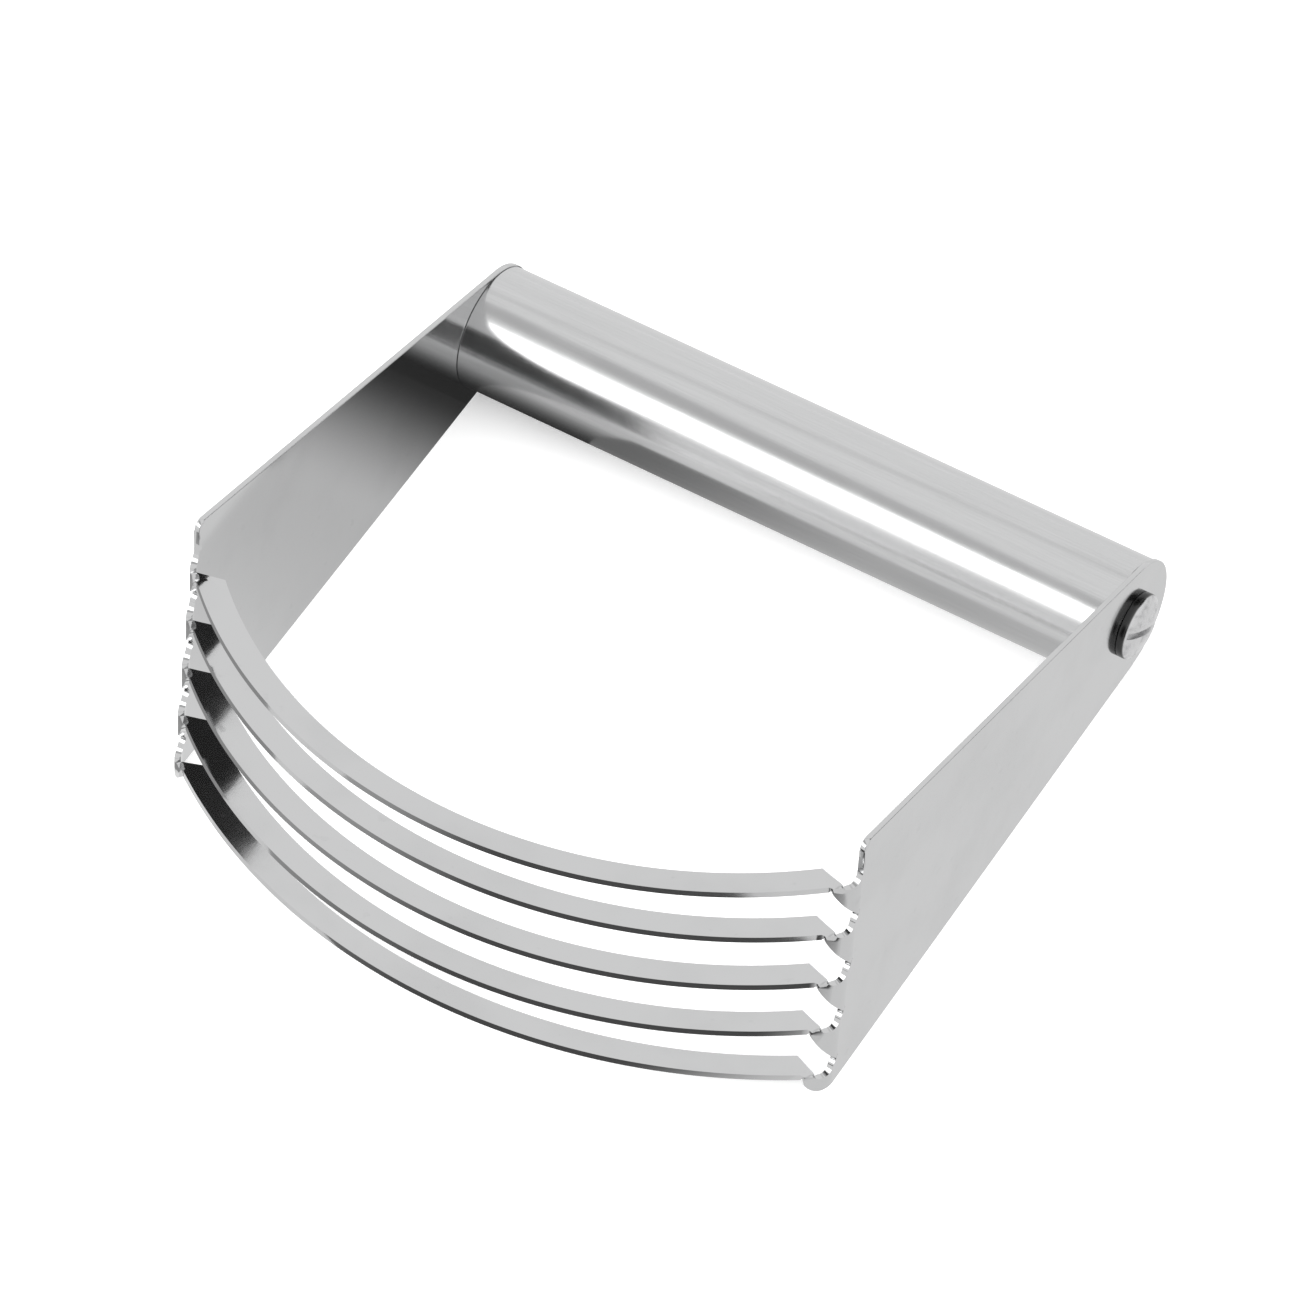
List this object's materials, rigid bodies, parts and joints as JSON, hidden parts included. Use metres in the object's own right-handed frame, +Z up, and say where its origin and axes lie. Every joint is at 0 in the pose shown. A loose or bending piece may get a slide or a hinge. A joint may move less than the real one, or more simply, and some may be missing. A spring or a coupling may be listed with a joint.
{
  "type": "pastry blender",
  "caption": "Pastry blender: curved sheet blades joined by two tapered side plates, with a straight tube handle between them held by a screw at each end.",
  "frame": {"origin": "middle of the footprint, on the surface that the tool lies on", "axes": "+X along the handle, +Y from the blades to the handle, +Z up, with the tool lying on the lower edges of its side plates"},
  "size_m": [0.1128, 0.111, 0.0429],
  "materials": {
    "blade_frame": "polished stainless sheet with cut edges",
    "handle_tube": "lengthwise brushed stainless tube",
    "handle_plug_left": "turned steel",
    "handle_plug_right": "turned steel",
    "handle_screw_left": "bright stainless screw",
    "handle_screw_right": "bright stainless screw"
  },
  "bodies": {
    "frame": {"blade_frame": "blade_frame"},
    "handle": {"handle_tube": "handle_tube", "handle_plug_left": "handle_plug_left", "handle_plug_right": "handle_plug_right", "handle_screw_left": "handle_screw_left", "handle_screw_right": "handle_screw_right"}
  },
  "joints": [
    {"name": "handle_turn", "type": "hinge", "parent": "frame", "child": "handle", "pos_m": [0, 0.04583, 0.0097], "axis": [1, 0, 0], "continuous": true}
  ]
}
